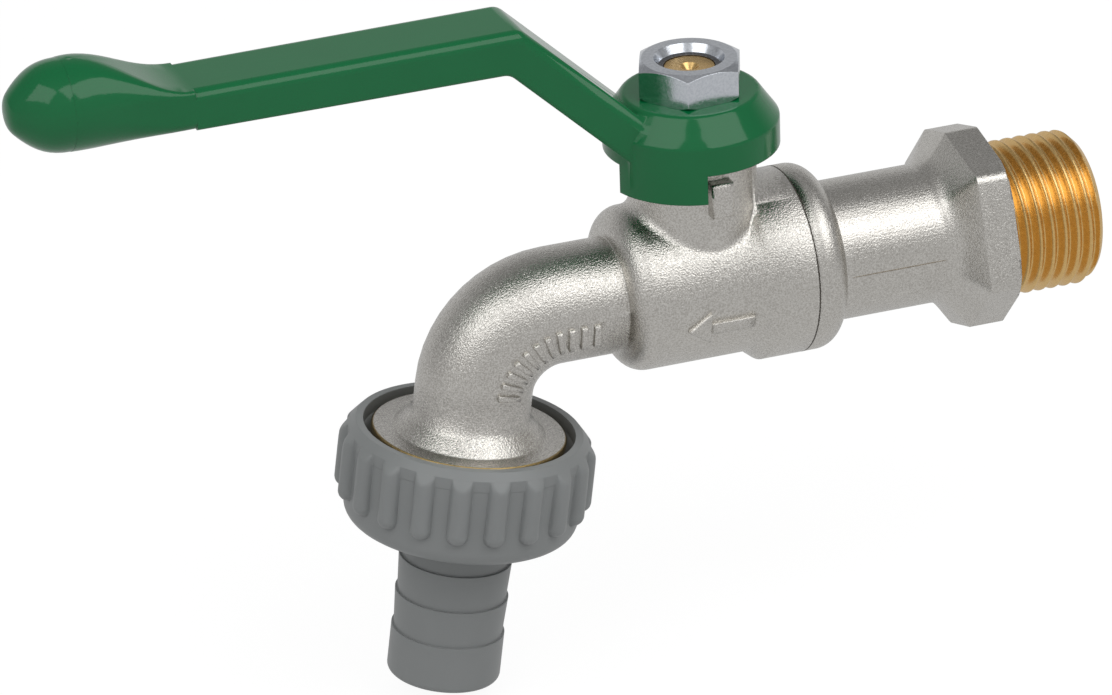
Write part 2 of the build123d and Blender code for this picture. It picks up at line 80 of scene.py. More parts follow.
camera_data = bpy.data.cameras.new("studio_camera")
camera_data.sensor_width = sensor_width
camera_data.lens = focal_pixels * sensor_width / photo_width
camera_data.clip_start = nearest_seen
camera_data.clip_end = farthest_seen
camera = bpy.data.objects.new("studio_camera", camera_data)
bpy.context.scene.collection.objects.link(camera)
turn = Matrix((rolled_right, rolled_up, back)).transposed().to_4x4()
camera.matrix_world = Matrix.Translation(
    back * origin_distance - rolled_right * across - rolled_up * above) @ turn
bpy.context.scene.camera = camera
bpy.context.scene.view_settings.view_transform = "Standard"


def studio_lamp(name, place, aim, width, height, level):
    """Large soft lamp that faces a point on the tap; level is how bright its face is."""
    data = bpy.data.lights.new(name, "AREA")
    data.shape = "RECTANGLE"
    data.size = width
    data.size_y = height
    data.energy = level * math.pi * width * height
    lamp = bpy.data.objects.new(name, data)
    bpy.context.scene.collection.objects.link(lamp)
    lamp.location = place
    lamp.rotation_euler = (Vector(aim) - Vector(place)).to_track_quat("-Z", "Y").to_euler()


tap_middle = (cad_box[0] + cad_box[1]) / 2
studio_lamp("lamp_above_left", place=(-0.43, -0.21, 0.45), aim=tap_middle,
            width=0.48, height=0.36, level=1.50)
studio_lamp("lamp_above_right", place=(0.17, -0.34, 0.49), aim=tap_middle,
            width=0.56, height=0.44, level=1.70)

# Sockets of the Mix node, by number because their names repeat.
mix_share = 0
mix_first = 2
mix_second = 3
mix_first_colour = 6
mix_second_colour = 7
mix_colour_out = 2

# The sky lights the tap evenly. Mirrored in it, the sky is brighter on the camera's side than
# behind, and a bright backdrop stands low behind the tap. The camera itself sees plain white.
white = (1.0, 1.0, 1.0, 1.0)
fill_strength = 0.40
seen_strength = 1.0
front_glow = 0.56
back_glow = 0.27
back_glow_from = -0.55
front_glow_from = 0.75
backdrop_glow = 0.62
backdrop_top = 0.50
backdrop_full_height = 0.28
backdrop_edge = -0.25
backdrop_full_width = -0.60
world = bpy.data.worlds.new("studio_world")
bpy.context.scene.world = world
world.use_nodes = True
sky = world.node_tree
sky.nodes.clear()
sky_out = sky.nodes.new("ShaderNodeOutputWorld")
sky_light = sky.nodes.new("ShaderNodeBackground")
sky_light.inputs["Color"].default_value = white
sky_seen = sky.nodes.new("ShaderNodeBackground")
sky_seen.inputs["Color"].default_value = white
sky_seen.inputs["Strength"].default_value = seen_strength
sky_ray = sky.nodes.new("ShaderNodeLightPath")
sky_mix = sky.nodes.new("ShaderNodeMixShader")
sky_place = sky.nodes.new("ShaderNodeTexCoord")
sky_side = sky.nodes.new("ShaderNodeVectorMath")
sky_side.operation = "DOT_PRODUCT"
sky_side.inputs[1].default_value = (back.x, back.y, 0.0)
sky_level = sky.nodes.new("ShaderNodeMapRange")
sky_level.interpolation_type = "SMOOTHSTEP"
sky_level.inputs["From Min"].default_value = back_glow_from
sky_level.inputs["From Max"].default_value = front_glow_from
sky_level.inputs["To Min"].default_value = back_glow
sky_level.inputs["To Max"].default_value = front_glow
sky_parts = sky.nodes.new("ShaderNodeSeparateXYZ")
sky_low = sky.nodes.new("ShaderNodeMapRange")
sky_low.interpolation_type = "SMOOTHSTEP"
sky_low.inputs["From Min"].default_value = backdrop_top
sky_low.inputs["From Max"].default_value = backdrop_full_height
sky_behind = sky.nodes.new("ShaderNodeMapRange")
sky_behind.inputs["From Min"].default_value = backdrop_edge
sky_behind.inputs["From Max"].default_value = backdrop_full_width
sky_backdrop = sky.nodes.new("ShaderNodeMath")
sky_backdrop.operation = "MULTIPLY"
sky_gloss = sky.nodes.new("ShaderNodeMix")
sky_gloss.inputs[mix_second].default_value = backdrop_glow
sky_choice = sky.nodes.new("ShaderNodeMix")
sky_choice.inputs[mix_first].default_value = fill_strength
sky.links.new(sky_place.outputs["Generated"], sky_side.inputs[0])
sky.links.new(sky_place.outputs["Generated"], sky_parts.inputs[0])
sky.links.new(sky_side.outputs["Value"], sky_level.inputs["Value"])
sky.links.new(sky_side.outputs["Value"], sky_behind.inputs["Value"])
sky.links.new(sky_parts.outputs["Z"], sky_low.inputs["Value"])
sky.links.new(sky_low.outputs[0], sky_backdrop.inputs[0])
sky.links.new(sky_behind.outputs[0], sky_backdrop.inputs[1])
sky.links.new(sky_backdrop.outputs[0], sky_gloss.inputs[mix_share])
sky.links.new(sky_level.outputs[0], sky_gloss.inputs[mix_first])
sky.links.new(sky_ray.outputs["Is Glossy Ray"], sky_choice.inputs[mix_share])
sky.links.new(sky_gloss.outputs[0], sky_choice.inputs[mix_second])
sky.links.new(sky_choice.outputs[0], sky_light.inputs["Strength"])
sky.links.new(sky_ray.outputs["Is Camera Ray"], sky_mix.inputs["Fac"])
sky.links.new(sky_light.outputs[0], sky_mix.inputs[1])
sky.links.new(sky_seen.outputs[0], sky_mix.inputs[2])
sky.links.new(sky_mix.outputs[0], sky_out.inputs["Surface"])

# The floor takes a faint shadow, glows white to the camera and mirrors in the tap as pale grey.
floor_gap = 0.002
floor_half = 3.0
floor_tone = (0.72, 0.72, 0.72, 1.0)
floor_roughness = 0.9
floor_specular = 0.0
floor_glow_level = 1.13
floor_glow_share = 0.82
floor_mirror_level = 0.60
floor_z = cad_box[0].z - floor_gap
floor_mesh = bpy.data.meshes.new("studio_floor")
floor_mesh.from_pydata(
    [(-floor_half, -floor_half, floor_z), (floor_half, -floor_half, floor_z),
     (floor_half, floor_half, floor_z), (-floor_half, floor_half, floor_z)],
    [], [(0, 1, 2, 3)])
floor = bpy.data.objects.new("studio_floor", floor_mesh)
bpy.context.scene.collection.objects.link(floor)
floor_material = bpy.data.materials.new("studio_floor")
floor_material.use_nodes = True
floor_tree = floor_material.node_tree
floor_shader = floor_tree.nodes["Principled BSDF"]
floor_shader.inputs["Base Color"].default_value = floor_tone
floor_shader.inputs["Roughness"].default_value = floor_roughness
floor_shader.inputs["Specular IOR Level"].default_value = floor_specular
floor_glow = floor_tree.nodes.new("ShaderNodeEmission")
floor_glow.inputs["Color"].default_value = white
floor_glow.inputs["Strength"].default_value = floor_glow_level
floor_ray = floor_tree.nodes.new("ShaderNodeLightPath")
floor_share = floor_tree.nodes.new("ShaderNodeMath")
floor_share.operation = "MULTIPLY"
floor_share.inputs[1].default_value = floor_glow_share
floor_mirror = floor_tree.nodes.new("ShaderNodeEmission")
floor_mirror.inputs["Color"].default_value = white
floor_mirror.inputs["Strength"].default_value = floor_mirror_level
floor_seen = floor_tree.nodes.new("ShaderNodeMixShader")
floor_tree.links.new(floor_ray.outputs["Is Glossy Ray"], floor_seen.inputs["Fac"])
floor_tree.links.new(floor_mirror.outputs[0], floor_seen.inputs[2])
floor_mix = floor_tree.nodes.new("ShaderNodeMixShader")
floor_out = floor_tree.nodes["Material Output"]
floor_tree.links.new(floor_ray.outputs["Is Camera Ray"], floor_share.inputs[0])
floor_tree.links.new(floor_share.outputs[0], floor_mix.inputs["Fac"])
floor_tree.links.new(floor_shader.outputs[0], floor_mix.inputs[1])
floor_tree.links.new(floor_glow.outputs[0], floor_mix.inputs[2])
floor_tree.links.new(floor_mix.outputs[0], floor_seen.inputs[1])
floor_tree.links.new(floor_seen.outputs[0], floor_out.inputs["Surface"])
floor.data.materials.append(floor_material)


# The forged body: hot-pressed brass in one piece from the ball chamber down the bent spout.
# It is tumbled and nickel plated, which leaves a fine sparkling grain on the as-forged skin.
mm = 0.001
nickel = (0.77, 0.75, 0.71, 1.0)
nickel_shade = (0.48, 0.46, 0.425, 1.0)
grain_detail = 2.0
grain_roughness = 0.6
pit_share = 0.35
cloud_scale = 160.0
cloud_detail = 2.0
cloud_share = 0.25
speckle_from = 0.36
speckle_to = 0.62
gloss_from = 0.3
gloss_to = 0.7
bevel_samples = 6
weld_reach = 0.001 * mm


def grain_group():
    """Tumbled metal grain: colour, roughness and height that change over the surface."""
    group = bpy.data.node_groups.new("tumbled_grain", "ShaderNodeTree")
    face = group.interface
    for name in ("Bright", "Dull"):
        face.new_socket(name, in_out="INPUT", socket_type="NodeSocketColor")
    for name in ("Grain Size", "Smooth", "Rough"):
        face.new_socket(name, in_out="INPUT", socket_type="NodeSocketFloat")
    face.new_socket("Color", in_out="OUTPUT", socket_type="NodeSocketColor")
    face.new_socket("Roughness", in_out="OUTPUT", socket_type="NodeSocketFloat")
    face.new_socket("Height", in_out="OUTPUT", socket_type="NodeSocketFloat")
    inside = group.nodes
    link = group.links.new
    entry = inside.new("NodeGroupInput")
    exit_node = inside.new("NodeGroupOutput")
    place = inside.new("ShaderNodeTexCoord")
    count = inside.new("ShaderNodeMath")
    count.operation = "DIVIDE"
    count.inputs[0].default_value = 1.0
    link(entry.outputs["Grain Size"], count.inputs[1])
    fine = inside.new("ShaderNodeTexNoise")
    fine.inputs["Detail"].default_value = grain_detail
    fine.inputs["Roughness"].default_value = grain_roughness
    link(place.outputs["Object"], fine.inputs["Vector"])
    link(count.outputs[0], fine.inputs["Scale"])
    pits = inside.new("ShaderNodeTexVoronoi")
    pits.feature = "SMOOTH_F1"
    link(place.outputs["Object"], pits.inputs["Vector"])
    link(count.outputs[0], pits.inputs["Scale"])
    cloud = inside.new("ShaderNodeTexNoise")
    cloud.inputs["Scale"].default_value = cloud_scale
    cloud.inputs["Detail"].default_value = cloud_detail
    link(place.outputs["Object"], cloud.inputs["Vector"])
    height = inside.new("ShaderNodeMath")
    height.operation = "MULTIPLY_ADD"
    height.inputs[1].default_value = pit_share
    link(pits.outputs["Distance"], height.inputs[0])
    link(fine.outputs["Fac"], height.inputs[2])
    link(height.outputs[0], exit_node.inputs["Height"])
    speckle = inside.new("ShaderNodeMapRange")
    speckle.inputs["From Min"].default_value = speckle_from
    speckle.inputs["From Max"].default_value = speckle_to
    link(fine.outputs["Fac"], speckle.inputs["Value"])
    mottle = inside.new("ShaderNodeMix")
    mottle.inputs[mix_share].default_value = cloud_share
    link(speckle.outputs[0], mottle.inputs[mix_first])
    link(cloud.outputs["Fac"], mottle.inputs[mix_second])
    tone = inside.new("ShaderNodeMix")
    tone.data_type = "RGBA"
    link(mottle.outputs[0], tone.inputs[mix_share])
    link(entry.outputs["Dull"], tone.inputs[mix_first_colour])
    link(entry.outputs["Bright"], tone.inputs[mix_second_colour])
    link(tone.outputs[mix_colour_out], exit_node.inputs["Color"])
    gloss = inside.new("ShaderNodeMapRange")
    gloss.inputs["From Min"].default_value = gloss_from
    gloss.inputs["From Max"].default_value = gloss_to
    link(fine.outputs["Fac"], gloss.inputs["Value"])
    link(entry.outputs["Smooth"], gloss.inputs["To Min"])
    link(entry.outputs["Rough"], gloss.inputs["To Max"])
    link(gloss.outputs[0], exit_node.inputs["Roughness"])
    return group


tumbled_grain = grain_group()


def grained_metal(name, bright, dull, grain_size, smooth, rough, depth, edge):
    """Metal with the tumbled grain on it and slightly rounded edges."""
    material = bpy.data.materials.new(name)
    material.use_nodes = True
    tree = material.node_tree
    shader = tree.nodes["Principled BSDF"]
    shader.inputs["Metallic"].default_value = 1.0
    grain = tree.nodes.new("ShaderNodeGroup")
    grain.node_tree = tumbled_grain
    grain.inputs["Bright"].default_value = bright
    grain.inputs["Dull"].default_value = dull
    grain.inputs["Grain Size"].default_value = grain_size
    grain.inputs["Smooth"].default_value = smooth
    grain.inputs["Rough"].default_value = rough
    rounding = tree.nodes.new("ShaderNodeBevel")
    rounding.samples = bevel_samples
    rounding.inputs["Radius"].default_value = edge
    bump = tree.nodes.new("ShaderNodeBump")
    bump.inputs["Strength"].default_value = 1.0
    bump.inputs["Distance"].default_value = depth
    tree.links.new(grain.outputs["Color"], shader.inputs["Base Color"])
    tree.links.new(grain.outputs["Roughness"], shader.inputs["Roughness"])
    tree.links.new(grain.outputs["Height"], bump.inputs["Height"])
    tree.links.new(rounding.outputs["Normal"], bump.inputs["Normal"])
    tree.links.new(bump.outputs["Normal"], shader.inputs["Normal"])
    return material


def finish_node(node, material):
    """Gives a CAD node its finish, and joins its faces where their edges meet."""
    piece = nodes[node]
    if not piece.material_slots:
        piece.data.materials.append(None)
    for place in piece.material_slots:
        place.link = "OBJECT"
        place.material = material
    join = piece.modifiers.new("joined_faces", "WELD")
    join.merge_threshold = weld_reach
    return piece


stem_x = -41.0 * mm
chamber_radius = 11.1 * mm
spout_radius = 7.8 * mm
bend_x = -61.4 * mm
bend_radius = 11.2 * mm
spout_z = -0.4 * mm
spout_tilt = math.radians(8.3)
disc_below_bend = 6.2 * mm
flow = Vector((-math.sin(spout_tilt), 0, -math.cos(spout_tilt)))
bend_end = Vector((bend_x - bend_radius * math.cos(spout_tilt), 0,
                   spout_z - bend_radius * (1 - math.sin(spout_tilt))))
disc_centre = bend_end + flow * disc_below_bend
forging_finish = {"bright": nickel, "dull": nickel_shade, "grain_size": 0.22 * mm,
                  "smooth": 0.14, "rough": 0.26, "depth": 0.085 * mm, "edge": 0.35 * mm}
plated_forging = grained_metal("plated_forging", **forging_finish)
plated_body = grained_metal("plated_body", **forging_finish)
turned_below = 0.3 * mm
rim_turned_below = -0.5 * mm
rim_turned_outside = 12.72 * mm
# Painted shade: the outlet's bare brass is darker than the thread's, for the shade in the narrow gap
# inside the nut's rim.
shaded_outlet_brass = (0.42, 0.31, 0.14, 1.0)


def machined_outlet(material):
    """Bare brass where the outlet was turned after plating: the disc's rim and all below it. It is
    darker than the thread's brass, as painted shade for the narrow gap inside the nut's rim.
    """
    tree = material.node_tree
    link = tree.links.new
    place = tree.nodes.new("ShaderNodeTexCoord")
    offset = tree.nodes.new("ShaderNodeVectorMath")
    offset.operation = "SUBTRACT"
    offset.inputs[1].default_value = disc_centre
    link(place.outputs["Object"], offset.inputs[0])
    depth = tree.nodes.new("ShaderNodeVectorMath")
    depth.operation = "DOT_PRODUCT"
    depth.inputs[1].default_value = flow
    link(offset.outputs[0], depth.inputs[0])
    inward = tree.nodes.new("ShaderNodeVectorMath")
    inward.operation = "SCALE"
    inward.inputs[0].default_value = flow
    link(depth.outputs["Value"], inward.inputs["Scale"])
    side = tree.nodes.new("ShaderNodeVectorMath")
    side.operation = "SUBTRACT"
    link(offset.outputs[0], side.inputs[0])
    link(inward.outputs[0], side.inputs[1])
    reach = tree.nodes.new("ShaderNodeVectorMath")
    reach.operation = "LENGTH"
    link(side.outputs[0], reach.inputs[0])
    tests = []
    for source, limit in ((depth, turned_below), (depth, rim_turned_below),
                          (reach, rim_turned_outside)):
        test = tree.nodes.new("ShaderNodeMath")
        test.operation = "GREATER_THAN"
        test.inputs[1].default_value = limit
        link(source.outputs["Value"], test.inputs[0])
        tests.append(test)
    rim = tree.nodes.new("ShaderNodeMath")
    rim.operation = "MULTIPLY"
    link(tests[1].outputs[0], rim.inputs[0])
    link(tests[2].outputs[0], rim.inputs[1])
    zone = tree.nodes.new("ShaderNodeMath")
    zone.operation = "MAXIMUM"
    link(tests[0].outputs[0], zone.inputs[0])
    link(rim.outputs[0], zone.inputs[1])
    colour = tree.nodes.new("ShaderNodeMix")
    colour.data_type = "RGBA"
    colour.inputs[mix_second_colour].default_value = shaded_outlet_brass
    shader = tree.nodes["Principled BSDF"]
    plated_colour = shader.inputs["Base Color"].links[0].from_socket
    link(plated_colour, colour.inputs[mix_first_colour])
    link(zone.outputs[0], colour.inputs[mix_share])
    link(colour.outputs[mix_colour_out], shader.inputs["Base Color"])


machined_outlet(plated_body)
finish_node("valve_body", plated_body)


def finished(name, mesh, material, sharp_over):
    """Object from a mesh, smooth except at edges sharper than the given angle in degrees."""
    for face in mesh.polygons:
        face.use_smooth = True
    mesh.set_sharp_from_angle(angle=math.radians(sharp_over))
    piece = bpy.data.objects.new(name, mesh)
    bpy.context.scene.collection.objects.link(piece)
    piece.data.materials.append(material)
    return piece


def solid_mesh(name, points, faces, material, sharp_over):
    """Finished object from points and faces."""
    mesh = bpy.data.meshes.new(name)
    mesh.from_pydata(points, [], faces)
    mesh.update()
    return finished(name, mesh, material, sharp_over)


# Raised forging marks: a plain flow arrow on the chamber and a row of short bars round the elbow.
# They are pressed with the body, from the same brass, so they share its plate and its grain.
mark_height = 0.62 * mm
mark_root = 0.15 * mm
mark_round = 0.22 * mm
mark_steps = ((-mark_root, 0.0), (0.0, 0.0), (mark_height * 0.75, 0.072 * mm),
              (mark_height, 0.192 * mm))
corner_shares = (0.0, 0.33, 0.67, 1.0)


def rounded_outline(corners, size):
    """Convex outline with its corners cut by short arcs; corners run counter-clockwise."""
    outline = []
    count = len(corners)
    for i, corner in enumerate(corners):
        here = Vector(corner)
        before = (Vector(corners[i - 1]) - here).normalized() * size
        after = (Vector(corners[(i + 1) % count]) - here).normalized() * size
        for share in corner_shares:
            start = here + before * (1 - share)
            end = here + after * share
            outline.append(start + (end - start) * share)
    return outline


def on_chamber(u, v, height):
    """Point on the chamber's near side: u along the flow, v down round the wall."""
    angle = v / chamber_radius
    reach = chamber_radius + height
    return (stem_x - u, -reach * math.cos(angle), -reach * math.sin(angle))


def on_elbow(u, v, height):
    """Point on the elbow's near side: u along the bend, v towards its inside."""
    turn = max(u, 0.0) / bend_radius
    centre = Vector((bend_x, 0, spout_z - bend_radius)) + Vector((
        -math.sin(turn), 0, math.cos(turn))) * bend_radius + Vector((-min(u, 0.0), 0, 0))
    inside = Vector((math.sin(turn), 0, -math.cos(turn)))
    angle = v / spout_radius
    outward = Vector((0, -math.cos(angle), 0)) + inside * math.sin(angle)
    return centre + outward * (spout_radius + height)


def add_mark(points, faces, corners, place):
    """Adds one raised mark with sloping sides to a growing mesh."""
    outline = rounded_outline(corners, mark_round)
    middle = sum(outline, Vector((0, 0))) / len(outline)
    first = len(points)
    count = len(outline)
    last = len(mark_steps) - 1
    for height, shrink in mark_steps:
        for spot in outline:
            moved = spot + (middle - spot).normalized() * shrink
            points.append(place(moved.x, moved.y, height))
    top = len(points)
    points.append(place(middle.x, middle.y, mark_height))
    bottom = len(points)
    points.append(place(middle.x, middle.y, -mark_root))
    for i in range(count):
        j = (i + 1) % count
        for level in range(last):
            low = first + level * count
            faces.append((low + i, low + j, low + count + j, low + count + i))
        faces.append((first + last * count + i, first + last * count + j, top))
        faces.append((first + j, first + i, bottom))


mark_points = []
mark_faces = []
arrow_drop = 2.6 * mm
arrow_tail = -4.2 * mm
arrow_neck = 2.0 * mm
arrow_tip = 5.4 * mm
arrow_half_width = 0.80 * mm
arrow_head_half = 2.4 * mm
arrow_shaft = [(arrow_tail, arrow_drop - arrow_half_width), (arrow_tail, arrow_drop + arrow_half_width),
               (arrow_neck, arrow_drop + arrow_half_width), (arrow_neck, arrow_drop - arrow_half_width)]
arrow_head = [(arrow_neck, arrow_drop - arrow_head_half), (arrow_neck, arrow_drop + arrow_head_half),
              (arrow_tip, arrow_drop)]
add_mark(mark_points, mark_faces, arrow_shaft, on_chamber)
add_mark(mark_points, mark_faces, arrow_head, on_chamber)
bar_count = 11
bar_start = -3.6 * mm
bar_pitch = 1.80 * mm
bar_half_width = 0.48 * mm
bar_half_length = 1.75 * mm
bar_inward = 1.9 * mm
for index in range(bar_count):
    along = bar_start + index * bar_pitch
    add_mark(mark_points, mark_faces, [
        (along - bar_half_width, bar_inward - bar_half_length),
        (along - bar_half_width, bar_inward + bar_half_length),
        (along + bar_half_width, bar_inward + bar_half_length),
        (along + bar_half_width, bar_inward - bar_half_length)], on_elbow)
raised_marks = solid_mesh("raised_marks", mark_points, mark_faces, plated_forging, sharp_over=60)
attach(raised_marks, "valve")


# The inlet connector: turned brass, nickel plated, with a hexagon and a bare brass wall thread.
# It is screwed into the body up to its flange, and the wall thread is cut last, through the plate.
def ring_solid(name, rings, material, sharp_over):
    """Closed ring of quads: each ring of points is joined to the next, and the last to the first."""
    count = len(rings[0])
    points = [point for ring in rings for point in ring]
    faces = []
    for row in range(len(rings)):
        after = (row + 1) % len(rings)
        for column in range(count):
            beside = (column + 1) % count
            faces.append((row * count + column, row * count + beside,
                          after * count + beside, after * count + column))
    return solid_mesh(name, points, faces, material, sharp_over)


brass_bright = (0.88, 0.60, 0.25, 1.0)
brass_dull = (0.74, 0.48, 0.19, 1.0)
bare_brass = grained_metal("bare_brass", brass_bright, brass_dull, grain_size=0.4 * mm,
                           smooth=0.20, rough=0.34, depth=0.010 * mm, edge=0.08 * mm)
thread_pitch = 1.8143 * mm
thread_crest = 10.48 * mm
thread_depth = 1.16 * mm
thread_end = 13.85 * mm
thread_lead = 1.1 * mm
inlet_bore = 6.25 * mm
thread_columns = 120
thread_rows = 124


def circle_ring(x, radius):
    """One plain round ring about the inlet axis."""
    return [(x, radius * math.cos(2 * math.pi * i / thread_columns),
             radius * math.sin(2 * math.pi * i / thread_columns)) for i in range(thread_columns)]


def thread_ring(x):
    """One ring of the right-hand thread, cut back at the end by the lead chamfer."""
    ring = []
    cone = thread_crest - max(0.0, x - (thread_end - thread_lead))
    for i in range(thread_columns):
        angle = 2 * math.pi * i / thread_columns
        wave = 0.5 + 0.5 * math.cos(2 * math.pi * x / thread_pitch - angle)
        radius = min(thread_crest - thread_depth * (1 - wave), cone)
        ring.append((x, radius * math.cos(angle), radius * math.sin(angle)))
    return ring


thread_rings = [thread_ring(thread_end * row / thread_rows) for row in range(thread_rows + 1)]
thread_rings += [circle_ring(thread_end, inlet_bore), circle_ring(0.0, inlet_bore)]
wall_thread = ring_solid("wall_thread", thread_rings, bare_brass, sharp_over=40)

neck_radius = 9.4 * mm
cone_start = -9.0 * mm
cone_foot = -7.6 * mm
cone_curve_end = -6.2 * mm
cone_curve_steps = 7
cone_straight_at = -5.4 * mm
hex_back = -4.7 * mm
hex_corner_round = 1.6 * mm
hex_rim = 0.06 * mm
hex_face_reach = 14.3 * mm
hex_chamfer = math.radians(30)
hex_chamfer_depth = 0.45 * mm
hex_chamfer_steps = 3
hex_flat = 13.25 * mm
hex_cut = 13.2 * mm
hex_sides = ((12, hex_flat), (72, hex_flat), (132, hex_flat), (162, hex_cut),
             (192, hex_flat), (252, hex_flat), (312, hex_flat), (342, hex_cut))
corner_steps = 6
side_steps = 5


def hex_outline(inset):
    """Angle and radius of each point round the hexagon with two corners cut flat."""
    corners = []
    for index, (turned_to, reach) in enumerate(hex_sides):
        next_turn, next_reach = hex_sides[(index + 1) % len(hex_sides)]
        first = math.radians(turned_to)
        second = math.radians(next_turn if next_turn > turned_to else next_turn + 360)
        a = reach - inset - hex_corner_round
        b = next_reach - inset - hex_corner_round
        across_corner = (b - a * math.cos(second - first)) / math.sin(second - first)
        centre = Vector((a * math.cos(first) - across_corner * math.sin(first),
                         a * math.sin(first) + across_corner * math.cos(first)))
        corners.append([centre + Vector((math.cos(angle), math.sin(angle))) * hex_corner_round
                        for angle in (first + (second - first) * step / corner_steps
                                      for step in range(corner_steps + 1))])
    outline = []
    for index, corner in enumerate(corners):
        outline += corner
        ahead = corners[(index + 1) % len(corners)][0]
        outline += [corner[-1].lerp(ahead, step / side_steps) for step in range(1, side_steps)]
    return [(math.atan2(point.y, point.x), point.length) for point in outline]


def hex_ring(x, inset, radius_from):
    """One ring of the hexagon; radius_from turns the outline's radius into the ring's."""
    return [(x, radius_from(radius) * math.sin(angle), -radius_from(radius) * math.cos(angle))
            for angle, radius in hex_outline(inset)]


def cone_rise(x):
    """Share of the way from neck to hexagon that the cone has risen: curved, then straight."""
    if x < cone_curve_end:
        return (x - cone_start) ** 2 / (4 * (cone_foot - cone_start) * (hex_back - cone_foot))
    return (x - cone_foot) / (hex_back - cone_foot)


hex_rings = []
cone_curve = cone_curve_end - cone_start
cone_places = [cone_start + cone_curve * step / cone_curve_steps for step in range(cone_curve_steps)]
cone_places += [cone_curve_end, cone_straight_at, hex_back - hex_rim]
for x in cone_places:
    rise = cone_rise(x)
    hex_rings.append(hex_ring(x, hex_rim, lambda radius, rise=rise: neck_radius + (
        radius - neck_radius) * rise))
hex_rings.append(hex_ring(hex_back + hex_rim, 0.0, lambda radius: radius))
for step in range(hex_chamfer_steps + 1):
    behind_face = hex_chamfer_depth * (1 - step / hex_chamfer_steps)
    reach = hex_face_reach + behind_face / math.tan(hex_chamfer)
    hex_rings.append(hex_ring(-behind_face, 0.0, lambda radius, reach=reach: min(radius, reach)))
for x in (0.0, cone_start):
    hex_rings.append(hex_ring(x, 0.0, lambda radius: inlet_bore))
plated_turning = grained_metal("plated_turning", nickel, nickel_shade, grain_size=0.21 * mm,
                               smooth=0.20, rough=0.31, depth=0.055 * mm, edge=0.14 * mm)
turned_hexagon = ring_solid("turned_hexagon", hex_rings, plated_turning, sharp_over=18)

shank = bmesh.new()
shank.from_mesh(nodes["inlet_connector"].data)
bmesh.ops.remove_doubles(shank, verts=shank.verts, dist=weld_reach)
bmesh.ops.bisect_plane(shank, geom=shank.verts[:] + shank.edges[:] + shank.faces[:],
                       plane_co=(hex_back - hex_rim, 0, 0), plane_no=(1, 0, 0), clear_outer=True)
bmesh.ops.bridge_loops(shank, edges=[edge for edge in shank.edges if edge.is_boundary])
shank_mesh = bpy.data.meshes.new("connector_shank")
shank.to_mesh(shank_mesh)
shank.free()
connector_shank = finished("connector_shank", shank_mesh, plated_turning, sharp_over=18)
for piece in (connector_shank, turned_hexagon, wall_thread):
    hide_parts("inlet_connector")
    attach(piece, "valve")


# Painted shadow: a thin dark ring, mottled dark brown, laid in the seam between the body and the
# connector's flange. It stands for the shade in the gap between them.
gap_shadow_dark = (0.020, 0.016, 0.012, 1.0)
gap_shadow_light = (0.090, 0.075, 0.055, 1.0)
gap_shadow_mottle = 1500.0
gap_shadow_roughness = 0.6
gap_shadow = bpy.data.materials.new("painted_gap_shadow")
gap_shadow.use_nodes = True
gap_shadow_tree = gap_shadow.node_tree
gap_shadow_shader = gap_shadow_tree.nodes["Principled BSDF"]
gap_shadow_tone = gap_shadow_tree.nodes.new("ShaderNodeTexNoise")
gap_shadow_tone.inputs["Scale"].default_value = gap_shadow_mottle
gap_shadow_colour = gap_shadow_tree.nodes.new("ShaderNodeMix")
gap_shadow_colour.data_type = "RGBA"
gap_shadow_colour.inputs[mix_first_colour].default_value = gap_shadow_dark
gap_shadow_colour.inputs[mix_second_colour].default_value = gap_shadow_light
gap_shadow_tree.links.new(gap_shadow_tone.outputs["Fac"], gap_shadow_colour.inputs[mix_share])
gap_shadow_tree.links.new(gap_shadow_colour.outputs[mix_colour_out], gap_shadow_shader.inputs["Base Color"])
gap_shadow_shader.inputs["Roughness"].default_value = gap_shadow_roughness
seam_x = -28.2 * mm
seam_half_width = 0.07 * mm
seam_inside = 12.2 * mm
seam_outside = 12.562 * mm
seam_rings = [circle_ring(seam_x - seam_half_width, seam_outside),
              circle_ring(seam_x + seam_half_width, seam_outside),
              circle_ring(seam_x + seam_half_width, seam_inside),
              circle_ring(seam_x - seam_half_width, seam_inside)]
seam_line = ring_solid("seam_line", seam_rings, gap_shadow, sharp_over=40)
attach(seam_line, "valve")

flash_proud = 0.045 * mm
flash_sink = 0.10 * mm
flash_half_width = 0.06 * mm
flash_start = -22.4 * mm
flash_end = -8.6 * mm
flash_steps = 24
flash_taper = 0.25
flash_bright = (0.46, 0.41, 0.34, 1.0)
flash_dull = (0.26, 0.22, 0.17, 1.0)
trimmed_flash = grained_metal("trimmed_flash", flash_bright, flash_dull, grain_size=0.3 * mm,
                              smooth=0.35, rough=0.55, depth=0.02 * mm, edge=0.05 * mm)
flash_points = []
flash_faces = []
for side_y in (-1, 1):
    first = len(flash_points)
    for step in range(flash_steps + 1):
        share = step / flash_steps
        x = flash_start + (flash_end - flash_start) * share
        thin = math.sin(math.pi * share) ** flash_taper
        root = neck_radius - flash_sink
        ridge = neck_radius + flash_proud * thin
        for side_z, reach in ((-1, root), (1, root), (1, ridge), (-1, ridge)):
            flash_points.append((x, side_y * reach, side_z * flash_half_width * thin))
    for step in range(flash_steps):
        for corner in range(4):
            a = first + 4 * step + corner
            b = first + 4 * step + (corner + 1) % 4
            flash_faces.append((a, b, b + 4, a + 4) if side_y > 0 else (b, a, a + 4, b + 4))
    last = first + 4 * flash_steps
    flash_faces.append((first + 3, first + 2, first + 1, first) if side_y > 0
                       else (first, first + 1, first + 2, first + 3))
    flash_faces.append((last, last + 1, last + 2, last + 3) if side_y > 0
                       else (last + 3, last + 2, last + 1, last))
flash_line = solid_mesh("flash_line", flash_points, flash_faces, trimmed_flash, sharp_over=40)
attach(flash_line, "valve")


